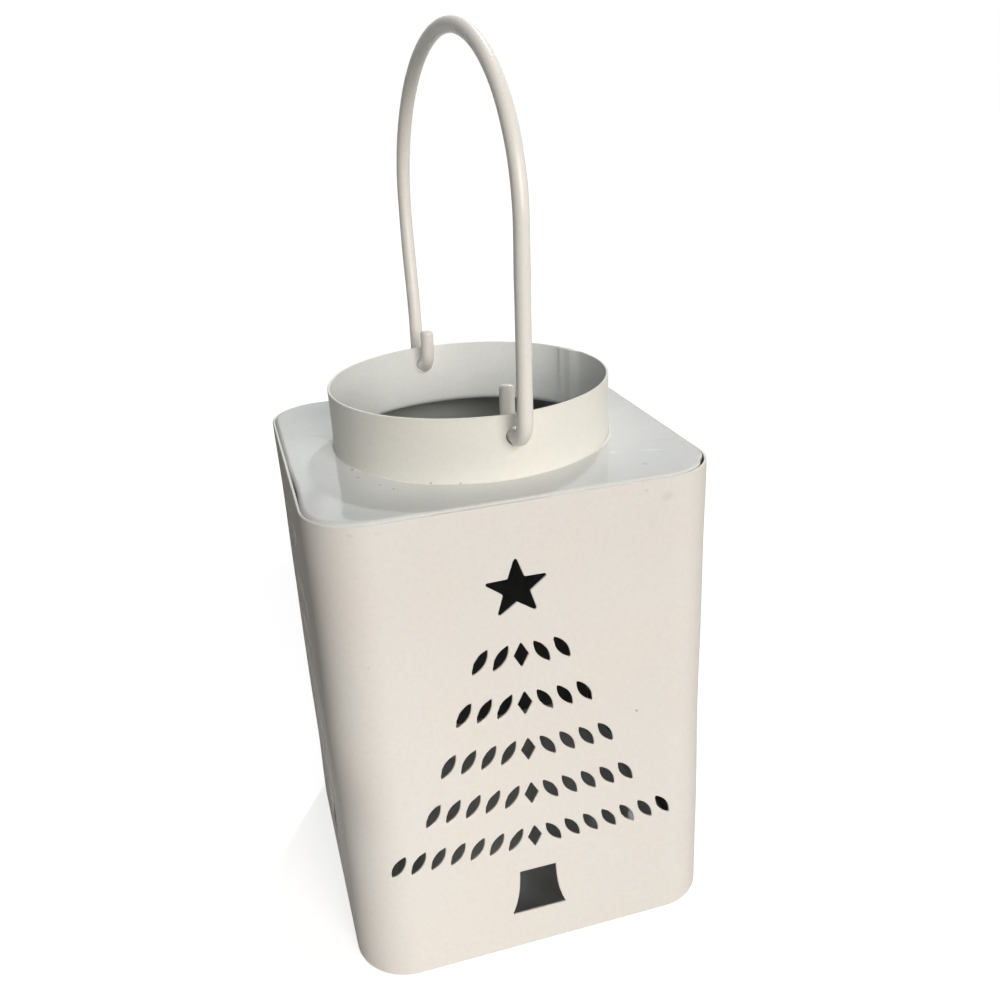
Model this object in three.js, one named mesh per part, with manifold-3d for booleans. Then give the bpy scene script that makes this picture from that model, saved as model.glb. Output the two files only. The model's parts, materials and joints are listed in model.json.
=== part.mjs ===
// A square sheet-metal candle lantern: a pierced sleeve with rounded upright corners, a drop-in
// top plate, a round collar, a floor pan and a wire bail that swings in two holes in the collar.
// Millimetres, +Z up. The origin is the middle of the base, on the surface the lantern stands on.
// The front, as drawn, looks towards -Y.
import * as THREE from "three";
import { mergeGeometries, mergeVertices } from "three/addons/utils/BufferGeometryUtils.js";
import Module from "manifold-3d";

const wasm = await Module();
wasm.setup();

// Sleeve
const bodyWidth = 120;
const bodyDepth = 118;
const sleeveHeight = 157.2;
const cornerRadius = 17.7;
const sleeveSheet = 0.8;
const cornerSteps = 8;

// Lap seam of the sleeve, in its back right corner
const lapAngle = 45;
const lapWidth = 9;
const seamGroove = 0.35;

// Pierced tree, the same on the front and on both sides: a star, rows of needles and a flared trunk.
// The star hangs below the rim, the trunk stands above the foot, and the rows share what is left.
// Star and trunk are a little off the wall's middle, and the rows lie on the line between them.
// The pierced walls are counted in quarter turns from the front, and the back is plain.
const piercedWalls = [0, 1, 3];
const starShift = -4.4;
const trunkShift = -1.9;
const treeMargin = 16.6;
const starBelowRim = 26.2;
const starRadius = 10.5;
const starInnerRadius = 4.2;
const starTipBlunt = 0.3;
const needlesPerSide = [2, 3, 4, 5, 7];
const firstRowBelowStar = 21.5;
const lastRowAboveTrunk = 21.3;
const needleLength = 9.4;
const needleWidth = 3.2;
const needleTilt = 32;
const lozengeHeight = 8.6;
const lozengeWidth = 4.6;
const trunkAboveFoot = 22.2;
const trunkLength = 16.8;
const trunkTopWidth = 12;
const trunkFootWidth = 18.2;
const trunkHollow = 2;

// Top plate and floor pan, pressed from sheet with a turned edge
const plateSheet = 0.8;
const plateProud = 0.6;
const plateFlange = 9;
const plateEdgeRadius = 1.2;
const floorSheet = 0.8;
const floorFlange = 7;
const floorEdgeRadius = 1.6;
const edgeSteps = 4;

// Collar
const collarRadius = 44;
const collarRise = 19.2;
const collarSheet = 0.8;
const collarFoot = 3.5;
const collarSteps = 96;
const collarLapAngle = 24;
const collarLapWidth = 6;

// Bail: its hinge line runs through two holes in the collar, a little off the collar's middle. It
// leans a little, and its arch, flatter than a half circle, sits further back than its two hooks
const wireRadius = 2.25;
const wireSides = 12;
const bailRise = 106.8;
const bailArchRise = 49.4;
const bailArchHalfWidth = 53.5;
const bailArchShift = 3.1;
const bailLean = 1.65;
const bailLegGap = 4.65;
const bailLegSteps = 4;
const bailStubGap = 3.15;
const bailStubAboveRim = 4.4;
const bailTurn = 4.6;
const bailShift = -1.7;
const holeBelowRim = 6.8;

// Clearances
const sheetClearance = 0.3;
const collarClearance = 0.3;
const wireClearance = 0.7;
const lapClearance = 0.5;

// How far a cutter passes beyond what it cuts
const cutOvershoot = 2;

// Sizes and places that follow from the ones above
const halfWidth = bodyWidth / 2;
const halfDepth = bodyDepth / 2;
const plateTop = sleeveHeight + plateProud;
const plateUnderside = plateTop - plateSheet;
const rimHeight = plateTop + collarRise;
const hingeHeight = rimHeight - holeBelowRim;
const collarInner = collarRadius - collarSheet;
const bailLegOffset = collarRadius + bailLegGap + wireRadius;
const bailStubOffset = collarInner - bailStubGap - wireRadius;
const bailStubRise = holeBelowRim + bailStubAboveRim;

const paint = (colour, roughness, metalness) =>
  new THREE.MeshStandardMaterial({ color: colour, roughness, metalness });

const sleevePaint = paint(0xe4ded5, 0.55, 0.1);
const platePaint = paint(0xc8cbc8, 0.4, 0.2);
const collarPaint = paint(0xdcd7cb, 0.45, 0.1);
const floorPaint = paint(0xa3a4a1, 0.6, 0.3);
const bailPaint = paint(0xd9d2c6, 0.4, 0.1);

// A closed three.js geometry becomes a solid for cutting and joining, and goes back again
function toSolid(geometry) {
  const bare = geometry.clone();
  bare.deleteAttribute("normal");
  bare.deleteAttribute("uv");
  const merged = mergeVertices(bare, 1e-4);
  return new wasm.Manifold(new wasm.Mesh({
    numProp: 3,
    vertProperties: new Float32Array(merged.attributes.position.array),
    triVerts: new Uint32Array(merged.index.array),
  }));
}

function toGeometry(solid) {
  const mesh = solid.getMesh();
  const geometry = new THREE.BufferGeometry();
  geometry.setAttribute("position", new THREE.BufferAttribute(mesh.vertProperties, mesh.numProp));
  geometry.setIndex(new THREE.BufferAttribute(mesh.triVerts, 1));
  geometry.computeVertexNormals();
  return geometry;
}

function piece(name, geometry, material) {
  const mesh = new THREE.Mesh(geometry, material);
  mesh.name = name;
  return mesh;
}

// Rounded rectangle, drawn in from the outside of the sleeve by an inset
function sleeveOutline(inset) {
  const x = halfWidth - inset;
  const y = halfDepth - inset;
  const radius = cornerRadius - inset;
  const outline = [];
  const corners = [[1, 1], [-1, 1], [-1, -1], [1, -1]];
  corners.forEach(([sideX, sideY], corner) => {
    for (let step = 0; step <= cornerSteps; step++) {
      const angle = (corner + step / cornerSteps) * Math.PI / 2;
      outline.push(new THREE.Vector2(
        sideX * (x - radius) + radius * Math.cos(angle),
        sideY * (y - radius) + radius * Math.sin(angle),
      ));
    }
  });
  return outline;
}

// Closed skin through a stack of equal rings, with the first and the last ring capped
function loftRings(rings) {
  const count = rings[0].length;
  const positions = rings.flat().flatMap((point) => point.toArray());
  const faces = [];
  for (let ring = 0; ring + 1 < rings.length; ring++) {
    for (let index = 0; index < count; index++) {
      const next = (index + 1) % count;
      const low = ring * count;
      const high = low + count;
      faces.push(low + index, low + next, high + next);
      faces.push(low + index, high + next, high + index);
    }
  }
  const last = (rings.length - 1) * count;
  for (let index = 1; index + 1 < count; index++) {
    faces.push(0, index + 1, index);
    faces.push(last, last + index, last + index + 1);
  }
  const geometry = new THREE.BufferGeometry();
  geometry.setAttribute("position", new THREE.Float32BufferAttribute(positions, 3));
  geometry.setIndex(faces);
  return geometry;
}

// Pressed pan, open upwards, whose walls stand inside the sleeve
function pan(inset, sheet, flange, edgeRadius) {
  const ring = (drawnIn, z) =>
    sleeveOutline(inset + drawnIn).map((point) => new THREE.Vector3(point.x, point.y, z));
  const rings = [];
  for (let step = 0; step <= edgeSteps; step++) {
    const angle = step / edgeSteps * Math.PI / 2;
    rings.push(ring(edgeRadius * (1 - Math.sin(angle)), edgeRadius * (1 - Math.cos(angle))));
  }
  rings.push(ring(0, flange));
  rings.push(ring(sheet, flange));
  const innerRadius = edgeRadius - sheet;
  for (let step = edgeSteps; step >= 0; step--) {
    const angle = step / edgeSteps * Math.PI / 2;
    rings.push(ring(
      edgeRadius - innerRadius * Math.sin(angle),
      edgeRadius - innerRadius * Math.cos(angle),
    ));
  }
  return loftRings(rings);
}

function cylinder(radius, length, sides) {
  return new THREE.CylinderGeometry(radius, radius, length, sides);
}

// Curved strip of sheet, from one angle to another about the Z axis
function arcStrip(innerRadius, outerRadius, fromAngle, toAngle, height, steps) {
  const shape = new THREE.Shape();
  shape.absarc(0, 0, outerRadius, fromAngle, toAngle, false);
  shape.absarc(0, 0, innerRadius, toAngle, fromAngle, true);
  shape.closePath();
  return new THREE.ExtrudeGeometry(shape, {
    depth: height,
    bevelEnabled: false,
    curveSegments: steps,
  });
}

// Five-pointed star with its tips a little blunt, standing on two points
function starShape() {
  const points = 5;
  const corner = (index) => {
    const radius = index % 2 === 0 ? starRadius : starInnerRadius;
    const angle = Math.PI / 2 + index * Math.PI / points;
    return new THREE.Vector2(radius * Math.cos(angle), radius * Math.sin(angle));
  };
  const shape = new THREE.Shape();
  for (let tip = 0; tip < 2 * points; tip += 2) {
    const before = corner(tip).lerp(corner(tip - 1), starTipBlunt);
    const after = corner(tip).lerp(corner(tip + 1), starTipBlunt);
    if (tip === 0) {
      shape.moveTo(before.x, before.y);
    } else {
      shape.lineTo(before.x, before.y);
    }
    shape.quadraticCurveTo(corner(tip).x, corner(tip).y, after.x, after.y);
    shape.lineTo(corner(tip + 1).x, corner(tip + 1).y);
  }
  return shape;
}

// Pointed oval slot, like a fir needle, along its own Y axis
function needleShape() {
  const shape = new THREE.Shape();
  shape.moveTo(0, needleLength / 2);
  shape.quadraticCurveTo(-needleWidth, 0, 0, -needleLength / 2);
  shape.quadraticCurveTo(needleWidth, 0, 0, needleLength / 2);
  return shape;
}

function lozengeShape() {
  const shape = new THREE.Shape();
  shape.moveTo(0, lozengeHeight / 2);
  shape.lineTo(-lozengeWidth / 2, 0);
  shape.lineTo(0, -lozengeHeight / 2);
  shape.lineTo(lozengeWidth / 2, 0);
  return shape;
}

// Trunk that flares to its foot in two hollow curves
function trunkShape() {
  const top = trunkLength / 2;
  const foot = -trunkLength / 2;
  const waist = -trunkHollow;
  const shape = new THREE.Shape();
  shape.moveTo(-trunkTopWidth / 2, top);
  shape.quadraticCurveTo(-trunkTopWidth / 2, waist, -trunkFootWidth / 2, foot);
  shape.lineTo(trunkFootWidth / 2, foot);
  shape.quadraticCurveTo(trunkTopWidth / 2, waist, trunkTopWidth / 2, top);
  return shape;
}

// Cutters of the whole tree for one wall: drawn in the plane of the wall, then stood upright
function treeCutters(wallWidth, wallDistance) {
  const inward = cornerRadius / 2;
  const starHeight = sleeveHeight - starBelowRim;
  const firstRow = starHeight - firstRowBelowStar;
  const lastRow = trunkAboveFoot + lastRowAboveTrunk;
  const rowPitch = (firstRow - lastRow) / (needlesPerSide.length - 1);
  const needlePitch = (wallWidth / 2 - treeMargin) / Math.max(...needlesPerSide);
  const cutters = [];
  const addCutter = (shape, across, height, tilt, curveSegments) => {
    const depth = inward + cutOvershoot;
    const shift = THREE.MathUtils.mapLinear(
      height, starHeight, trunkAboveFoot, starShift, trunkShift,
    );
    const cutter = new THREE.ExtrudeGeometry(shape, { depth, bevelEnabled: false, curveSegments });
    cutter.rotateZ(THREE.MathUtils.degToRad(tilt));
    cutter.translate(shift + across, height, wallDistance - inward);
    cutters.push(cutter);
  };
  addCutter(starShape(), 0, starHeight, 0, 3);
  needlesPerSide.forEach((needles, row) => {
    const height = firstRow - row * rowPitch;
    addCutter(lozengeShape(), 0, height, 0, 1);
    for (let count = 1; count <= needles; count++) {
      addCutter(needleShape(), count * needlePitch, height, needleTilt, 3);
      addCutter(needleShape(), -count * needlePitch, height, -needleTilt, 3);
    }
  });
  addCutter(trunkShape(), 0, trunkAboveFoot, 0, 6);
  const tree = mergeGeometries(cutters);
  tree.rotateX(Math.PI / 2);
  return tree;
}

// Sleeve: one sheet bent round four corners, its ends lapped inside the back right corner
function bodySleeve() {
  const section = new THREE.Shape(sleeveOutline(0));
  section.holes.push(new THREE.Path(sleeveOutline(sleeveSheet)));
  let sleeve = toSolid(new THREE.ExtrudeGeometry(section, {
    depth: sleeveHeight,
    bevelEnabled: false,
  }));

  const cornerX = halfWidth - cornerRadius;
  const cornerY = halfDepth - cornerRadius;
  const innerRadius = cornerRadius - sleeveSheet;
  const lapSpan = lapWidth / innerRadius / 2;
  const lapMiddle = THREE.MathUtils.degToRad(lapAngle);
  const lapFoot = floorFlange + lapClearance;
  const lapTop = plateTop - plateFlange - lapClearance;
  const lap = arcStrip(
    innerRadius - sleeveSheet, innerRadius + sleeveSheet / 2,
    lapMiddle - lapSpan, lapMiddle + lapSpan, lapTop - lapFoot, 4,
  );
  lap.translate(cornerX, cornerY, lapFoot);
  sleeve = sleeve.add(toSolid(lap));

  const groove = new THREE.BoxGeometry(sleeveSheet, seamGroove, lapTop - lapFoot);
  groove.translate(cornerRadius, 0, 0);
  groove.rotateZ(lapMiddle + lapSpan / 2);
  groove.translate(cornerX, cornerY, (lapTop + lapFoot) / 2);
  sleeve = sleeve.subtract(toSolid(groove));

  for (const wall of piercedWalls) {
    const tree = wall % 2 === 0
      ? treeCutters(bodyWidth, halfDepth)
      : treeCutters(bodyDepth, halfWidth);
    tree.rotateZ(wall * Math.PI / 2);
    sleeve = sleeve.subtract(toSolid(tree));
  }
  return piece("body_sleeve", toGeometry(sleeve), sleevePaint);
}

// Top plate: the pan turned over, with a round hole for the collar
function topPlate() {
  const pressed = pan(sleeveSheet + sheetClearance, plateSheet, plateFlange, plateEdgeRadius);
  pressed.rotateX(Math.PI);
  pressed.translate(0, 0, plateTop);
  const holeDepth = 2 * (plateSheet + cutOvershoot);
  const hole = cylinder(collarRadius + collarClearance, holeDepth, collarSteps);
  hole.rotateX(Math.PI / 2);
  hole.translate(0, 0, plateTop);
  const plate = toSolid(pressed).subtract(toSolid(hole));
  return piece("top_plate", toGeometry(plate), platePaint);
}

// Floor pan, inside the foot of the sleeve
function basePlate() {
  const pressed = pan(sleeveSheet + sheetClearance, floorSheet, floorFlange, floorEdgeRadius);
  return piece("base_plate", toGeometry(toSolid(pressed)), floorPaint);
}

// A line through both holes in the collar, which the bail turns about
function alongHinge(geometry) {
  const turn = THREE.MathUtils.degToRad(bailTurn);
  geometry.rotateZ(turn);
  geometry.translate(bailShift * Math.cos(turn), bailShift * Math.sin(turn), hingeHeight);
  return geometry;
}

// Collar: a rolled band with a lap inside, its foot turned out below the plate
function collar() {
  const footTop = plateUnderside - collarClearance;
  const footUnderside = footTop - collarSheet;
  const profile = [
    new THREE.Vector2(collarInner, footUnderside),
    new THREE.Vector2(collarRadius + collarFoot, footUnderside),
    new THREE.Vector2(collarRadius + collarFoot, footTop),
    new THREE.Vector2(collarRadius, footTop),
    new THREE.Vector2(collarRadius, rimHeight),
    new THREE.Vector2(collarInner, rimHeight),
    new THREE.Vector2(collarInner, footUnderside),
  ];
  const band = new THREE.LatheGeometry(profile, collarSteps);
  band.rotateX(Math.PI / 2);
  const lapSpan = collarLapWidth / collarRadius / 2;
  const lapMiddle = THREE.MathUtils.degToRad(collarLapAngle);
  const lap = arcStrip(
    collarInner - collarSheet, collarInner + collarSheet / 2,
    lapMiddle - lapSpan, lapMiddle + lapSpan, rimHeight - footUnderside, 2,
  );
  lap.translate(0, 0, footUnderside);
  const holeLine = 2 * (collarRadius + cutOvershoot);
  const holes = alongHinge(cylinder(wireRadius + wireClearance, holeLine, 24));
  const solid = toSolid(band).add(toSolid(lap)).subtract(toSolid(holes));
  return piece("collar", toGeometry(solid), collarPaint);
}

// A path given by its points, which a section follows from one point to the next
class PointPath extends THREE.Curve {
  constructor(points) {
    super();
    this.points = points;
  }

  getPoint(t, target = new THREE.Vector3()) {
    const place = THREE.MathUtils.clamp(t, 0, 1) * (this.points.length - 1);
    const index = Math.min(Math.floor(place), this.points.length - 2);
    return target.lerpVectors(this.points[index], this.points[index + 1], place - index);
  }

  getUtoTmapping(u) {
    return u;
  }
}

// Bail wire: up from one stub, under and out through its hole, over the arch and down to the other
function bail() {
  const bend = (bailLegOffset - bailStubOffset) / 2;
  const archFoot = bailRise - bailArchRise;
  const points = [];
  const addPoint = (y, z) => points.push(new THREE.Vector3(0, y, z));
  const addArc = (centreY, centreZ, radiusY, radiusZ, fromDegrees, toDegrees, steps) => {
    for (let step = 0; step <= steps; step++) {
      const degrees = THREE.MathUtils.lerp(fromDegrees, toDegrees, step / steps);
      const angle = THREE.MathUtils.degToRad(degrees);
      addPoint(centreY + radiusY * Math.cos(angle), centreZ + radiusZ * Math.sin(angle));
    }
  };
  // The inner points of a leg, which bends over gently from its hook to the arch
  const legPoints = (side) => {
    const archEnd = bailArchShift + side * bailArchHalfWidth;
    const inner = [];
    for (let step = 1; step < bailLegSteps; step++) {
      const share = step / bailLegSteps;
      const aside = THREE.MathUtils.smoothstep(share, 0, 1);
      inner.push([
        THREE.MathUtils.lerp(side * bailLegOffset, archEnd, aside),
        THREE.MathUtils.lerp(bend, archFoot, share),
      ]);
    }
    return inner;
  };
  addPoint(-bailStubOffset, bailStubRise);
  addArc(-bailStubOffset - bend, bend, bend, bend, 0, -180, 10);
  legPoints(-1).forEach(([y, z]) => addPoint(y, z));
  addArc(bailArchShift, archFoot, bailArchHalfWidth, bailArchRise, 180, 0, 26);
  legPoints(1).reverse().forEach(([y, z]) => addPoint(y, z));
  addArc(bailStubOffset + bend, bend, bend, bend, 0, -180, 10);
  addPoint(bailStubOffset, bailStubRise);

  const section = new THREE.Shape();
  section.absarc(0, 0, wireRadius, 0, 2 * Math.PI, false);
  const wire = toSolid(new THREE.ExtrudeGeometry(section, {
    steps: points.length - 1,
    curveSegments: wireSides / 2,
    extrudePath: new PointPath(points),
  }));
  const tip = (side) => {
    const dome = new THREE.SphereGeometry(wireRadius, wireSides, 8);
    dome.rotateX(Math.PI / 2);
    dome.translate(0, side * bailStubOffset, bailStubRise);
    return toSolid(dome);
  };
  const geometry = toGeometry(wire.add(tip(-1)).add(tip(1)));
  geometry.rotateY(THREE.MathUtils.degToRad(bailLean));
  return piece("bail", alongHinge(geometry), bailPaint);
}

const lantern = new THREE.Group();
lantern.name = "lantern";
lantern.add(bodySleeve(), topPlate(), basePlate(), collar(), bail());

export default lantern;
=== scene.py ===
import json
import math
import random

import bmesh
import bpy
from mathutils import Matrix, Vector, noise
from mathutils.geometry import delaunay_2d_cdt


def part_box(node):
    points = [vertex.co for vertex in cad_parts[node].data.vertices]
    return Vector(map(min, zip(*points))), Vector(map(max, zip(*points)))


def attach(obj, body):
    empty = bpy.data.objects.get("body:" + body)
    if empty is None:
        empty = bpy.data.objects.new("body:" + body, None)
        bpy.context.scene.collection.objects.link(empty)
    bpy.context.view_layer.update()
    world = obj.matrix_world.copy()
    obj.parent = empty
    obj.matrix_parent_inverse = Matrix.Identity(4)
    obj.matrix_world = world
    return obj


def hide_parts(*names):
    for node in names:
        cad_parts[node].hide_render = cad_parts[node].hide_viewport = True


# The looks of a square pierced sheet-metal lantern: a sleeve wrapped round four corners, a pressed
# top plate, a floor pan, a rolled collar and a swinging wire bail, sprayed with warm white paint.
# Metres, +Z up, the front towards -Y.

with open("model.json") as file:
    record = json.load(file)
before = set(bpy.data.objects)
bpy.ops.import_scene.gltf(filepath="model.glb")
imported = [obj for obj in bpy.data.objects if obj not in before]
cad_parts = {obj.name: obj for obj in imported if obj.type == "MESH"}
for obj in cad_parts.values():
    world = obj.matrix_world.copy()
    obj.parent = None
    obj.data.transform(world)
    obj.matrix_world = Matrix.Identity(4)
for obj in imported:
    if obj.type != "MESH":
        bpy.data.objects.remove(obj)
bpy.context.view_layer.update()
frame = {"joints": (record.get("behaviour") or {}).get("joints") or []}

# Sizes and places that the frame gives
HALF_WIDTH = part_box("body_sleeve")[1].x
HALF_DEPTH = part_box("body_sleeve")[1].y
SLEEVE_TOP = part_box("body_sleeve")[1].z
PLATE_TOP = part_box("top_plate")[1].z
PLATE_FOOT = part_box("top_plate")[0].z
FLOOR_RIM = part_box("base_plate")[1].z
COLLAR_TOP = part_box("collar")[1].z
FOOT_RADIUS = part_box("collar")[1].x
HINGE = Vector(frame["joints"][0]["pos_m"])
HINGE_AXIS = Vector(frame["joints"][0]["axis"])

# Sheet metal
SHEET = 0.0008
EDGE_ROUND = 0.00018
CORNER_RADIUS = 0.0177
CORNER_STEP = 0.0016
WALL_STEP = 0.003
SHARP_ANGLE = math.radians(28)
CUT_TOLERANCE = 1e-6

# Lap seam of the sleeve, in its back right corner, between the flanges of the plate and the pan
SEAM_ANGLE = math.radians(52.6)
LAP_WIDTH = 0.007
LAP_RAMP = 0.004
LAP_CLEARANCE = 0.00006
LAP_END_CLEARANCE = 0.0005
LAP_DROP = SHEET + LAP_CLEARANCE
LAP_FOOT = FLOOR_RIM + LAP_END_CLEARANCE
LAP_TOP = PLATE_FOOT - LAP_END_CLEARANCE

# Between these heights the inside of the sleeve turns from its painted shade low down to painted light
# near the mouth
INSIDE_LIGHT_HEIGHTS = (0.112, 0.152)

# Paint that wraps over the rim onto the top of the inside: its colour, and how far below the plate
# it starts and is full
RIM_PAINT = (0.80, 0.78, 0.74)
RIM_PAINT_START = 0.0012
RIM_PAINT_FULL = 0.0006

# Small unevenness of the sleeve, always inward
WALL_SAG = 0.0005
WALL_SAG_SIZE = 0.05
WALL_SAG_MIDDLE = 0.45
WALL_HELD_REACH = 0.03
DENT_DEPTH = 0.0012
DENT_HEIGHT = 0.063
DENT_SIZE = 0.011
DENT_STRETCH = 1.3
DENT_TURN_SHARE = 0.3

# Pierced tree
STAR_SHIFT = -0.0044
TRUNK_SHIFT = -0.0019
TREE_MARGIN = 0.0166
STAR_BELOW_RIM = 0.0262
STAR_RADIUS = 0.0105
STAR_INNER_RADIUS = 0.0042
STAR_POINTS = 5
STAR_SOFTNESS = 0.00058
NEEDLES_PER_SIDE = (2, 3, 4, 5, 7)
FIRST_ROW_BELOW_STAR = 0.0215
LAST_ROW_ABOVE_TRUNK = 0.0213
NEEDLE_LENGTH = 0.0094
NEEDLE_WIDTH = 0.0032
NEEDLE_TILT = math.radians(32)
NEEDLE_SOFTNESS = 0.0003
NEEDLE_STEPS = 8
LOZENGE_HEIGHT = 0.0086
LOZENGE_WIDTH = 0.0046
TRUNK_ABOVE_FOOT = 0.0222
TRUNK_LENGTH = 0.0168
TRUNK_TOP_WIDTH = 0.012
TRUNK_FOOT_WIDTH = 0.0182
TRUNK_HOLLOW = 0.002
TRUNK_STEPS = 10

# Top plate and floor pan
PLATE_EDGE_RADIUS = 0.0012
FLOOR_EDGE_RADIUS = 0.0016
FLOOR_INSET = 0.0011
FLOOR_CENTRE_RADIUS = 0.0005
PAN_EDGE_STEPS = 6
PAN_FLAT_STEPS = 22
PLATE_WAVE = 0.00035
PLATE_WAVE_SIZE = 0.021
PLATE_WAVE_LAYER = 0.3
PLATE_HELD_SHARE = 0.25
PLATE_STEP = 0.0008

# Gap between the plate's edge and the sleeve: nearly closed, a little open in three places
GAP_TIGHT = 0.00003
GAP_FRONT = 0.0003
GAP_FRONT_RISE = 0.02
GAP_FRONT_FADE = 0.01
GAP_LEFT = 0.00055
GAP_LEFT_PLACE = 0.024
GAP_LEFT_REACH = 0.018
GAP_CORNER = 0.0007
GAP_CORNER_ANGLE = math.radians(59)
GAP_CORNER_REACH = 0.005

# Shallow creases in the plate: their ends, depth and half width
PLATE_CREASES = (
    ((-0.0528, 0.0200), (-0.0478, 0.0178)),
    ((-0.0478, 0.0178), (-0.0440, 0.0130)),
    ((-0.0531, -0.0142), (-0.0455, -0.0193)),
)
CREASE_DEPTH = 0.00012
CREASE_WIDTH = 0.0008

# Collar
COLLAR_RADIUS = 0.044
COLLAR_HOLE_CLEARANCE = 0.0003
FOOT_BEND_RADIUS = 0.0012
COLLAR_STEP = 0.0014
COLLAR_SEAM_ANGLE = math.radians(20)
COLLAR_LAP_WIDTH = 0.006
COLLAR_LAP_RAMP = 0.0035
COLLAR_SAG = 0.0002
COLLAR_SAG_MIDDLE = 0.3
COLLAR_SAG_WAVES = 1.7
COLLAR_SAG_HEIGHT = 0.03
COLLAR_BEND_STEPS = 5
BAIL_HOLE_RADIUS = 0.00275
BAIL_HOLE_RAISE = 0.00045
BAIL_HOLE_SIDES = 40

# Bead of paint round the foot of the collar. Each of its waves is a share of its size and a scale.
BEAD_SIZE = 0.0006
BEAD_WAVES = ((0.25, 9.0), (0.15, 40.0))
BEAD_BURIED = 0.0002
BEAD_STEPS = 1400
BEAD_PROFILE_STEPS = 7
BEAD_SLOPE = 1.5
BEAD_SEED = 7
PINHOLES = 90
PINHOLE_RADIUS = 0.00022
PINHOLE_DEPTH = 0.00016
PINHOLE_MIDDLE = math.radians(-125)
PINHOLE_SPREAD = 0.7
PINHOLE_SLOPES = (0.25, 1.0)
PINHOLE_WIDTHS = (0.5, 1.3)

# Bail
WIRE_RADIUS = 0.00225
WIRE_SIDES = 28
LEG_OFFSET = 0.0509
STUB_OFFSET = 0.0378
STUB_RISE = 0.0112
BAIL_RISE = 0.1068
ARCH_RISE = 0.0494
ARCH_HALF_WIDTH = 0.0535
ARCH_SHIFT = 0.0031
BAIL_LEAN = math.radians(1.65)
STUB_EDGE_RADIUS = 0.0011
STUB_EDGE_STEPS = 6
STUB_FACE_SHARE = 0.45
BAIL_STEP = 0.0014
WIRE_WAVE = 0.00008
WIRE_WAVE_SIZE = 0.012
WIRE_WAVE_MIDDLE = 0.4

# Camera: place, direction and lens on a sensor as wide as the picture
CAMERA_PLACE = (-0.072484, -0.295950, 0.261626)
CAMERA_AZIMUTH = math.radians(15.261)
CAMERA_TILT = math.radians(22.749)
CAMERA_ROLL = math.radians(-3.13)
CAMERA_SENSOR = 36.0
CAMERA_LENS = 35.899
CAMERA_CLIP_START = 0.01

# Suns: name, azimuth from the front to the right, elevation, spread, strength and colour
SUNS = (
    ("key", 9.5, 21, 38, 2.72, (1.0, 0.965, 0.92)),
    ("key_right", 55, 21, 50, 0.36, (1.0, 0.965, 0.92)),
    ("back", 148.5, 43.5, 2.5, 0.9, (0.93, 0.98, 1.0)),
    ("rear", 158, 8, 40, 1.2, (1.0, 0.98, 0.95)),
)

# Suns that lift the shade and make no highlights
SOFT_SUNS = ("rear",)

# Near lamps: name, place, aim, size, beam angle, power and colour
LAMPS = (
    ("overhead", (-0.03, 0.0, 0.75), (0.0, 0.0, 0.16), 0.35, 180, 0.30, (0.97, 0.99, 1.0)),
    ("plate_fill", (-0.10, -0.05, 0.34), (-0.035, -0.01, 0.16), 0.05, 30, 0.0018, (0.97, 0.99, 1.0)),
    ("collar_fill", (-0.10, -0.09, 0.30), (0.036, 0.022, 0.17), 0.04, 16, 0.00095, (0.97, 0.99, 1.0)),
    ("low_left", (-0.17, -0.03, 0.01), (0.0, 0.0, 0.03), 0.05, 120, 0.011, (1.0, 0.99, 0.96)),
    ("low_front", (-0.10, -0.22, 0.02), (0.0, 0.0, 0.03), 0.08, 120, 0.023, (1.0, 0.99, 0.96)),
)
SKY_COLOUR = (0.93, 0.97, 1.0)
SKY_STRENGTH = 0.01
FLOOR_SIZE = 8.0
FLOOR_DROP = 0.0002
FLOOR_COLOUR = (0.31, 0.31, 0.30)
FLOOR_CAMERA_COLOUR = (0.62, 0.62, 0.62)
FLOOR_CAMERA_GLOW = 0.72

# Sprayed paint: noise scales per metre, its clouds, the shade of its grain and its dark specks
CLOUD_SCALE = 34.0
CLOUD_BOUNDS = (0.36, 0.64)
PAINT_GRAIN_SCALE = 700.0
GRAIN_BOUNDS = (0.3, 0.7)
GRAIN_SHADES = (0.97, 1.015)
PEEL_SCALE = 520.0
SPECK_SCALE = 150.0
SPECK_SHARE = 0.02
SPECK_SIZE = 0.055
SPECK_DEPTH = 1.5
SPECK_TONE = (0.16, 0.13, 0.10)
ROUGHNESS_SCALE = 120.0
ROUGHNESS_BELOW = 0.05
ROUGHNESS_ABOVE = 0.07
BUMP_DISTANCE = 0.0002
COAT_IOR = 1.7

# Inside of the sheet
INSIDE_CLOUD_SCALE = 60.0
INSIDE_CLOUD_BOUNDS = (0.35, 0.65)
INSIDE_GRAIN_SCALE = 900.0
INSIDE_ROUGHNESS = (0.5, 0.7)
INSIDE_BUMP = 0.15
INSIDE_METALLIC = 0.3

# Small marks in the paint: place, half sizes, turn in degrees, tone and how much of it
DARK_TONE = (0.30, 0.27, 0.23)
BROWN_TONE = (0.50, 0.42, 0.33)
DULL_TONE = (0.62, 0.58, 0.53)
RED_TONE = (0.45, 0.16, 0.13)
PALE_TONE = (0.90, 0.90, 0.88)
SLEEVE_MARKS = (
    ((-0.0477, -HALF_DEPTH, 0.1143), (0.0006, 0.002, 0.0005), 0, DARK_TONE, 0.7),
    ((0.0320, -HALF_DEPTH, 0.0817), (0.0006, 0.002, 0.0006), 0, DARK_TONE, 0.7),
    ((0.0410, -HALF_DEPTH, 0.1516), (0.0022, 0.004, 0.0016), 0, DULL_TONE, 0.35),
    ((0.0347, -HALF_DEPTH, 0.1544), (0.0008, 0.002, 0.0006), 0, DULL_TONE, 0.6),
    ((-0.0485, -HALF_DEPTH, 0.1548), (0.0013, 0.003, 0.0007), 0, BROWN_TONE, 0.25),
    ((-0.0415, -HALF_DEPTH, 0.1547), (0.0010, 0.003, 0.0006), 0, BROWN_TONE, 0.2),
)
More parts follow.
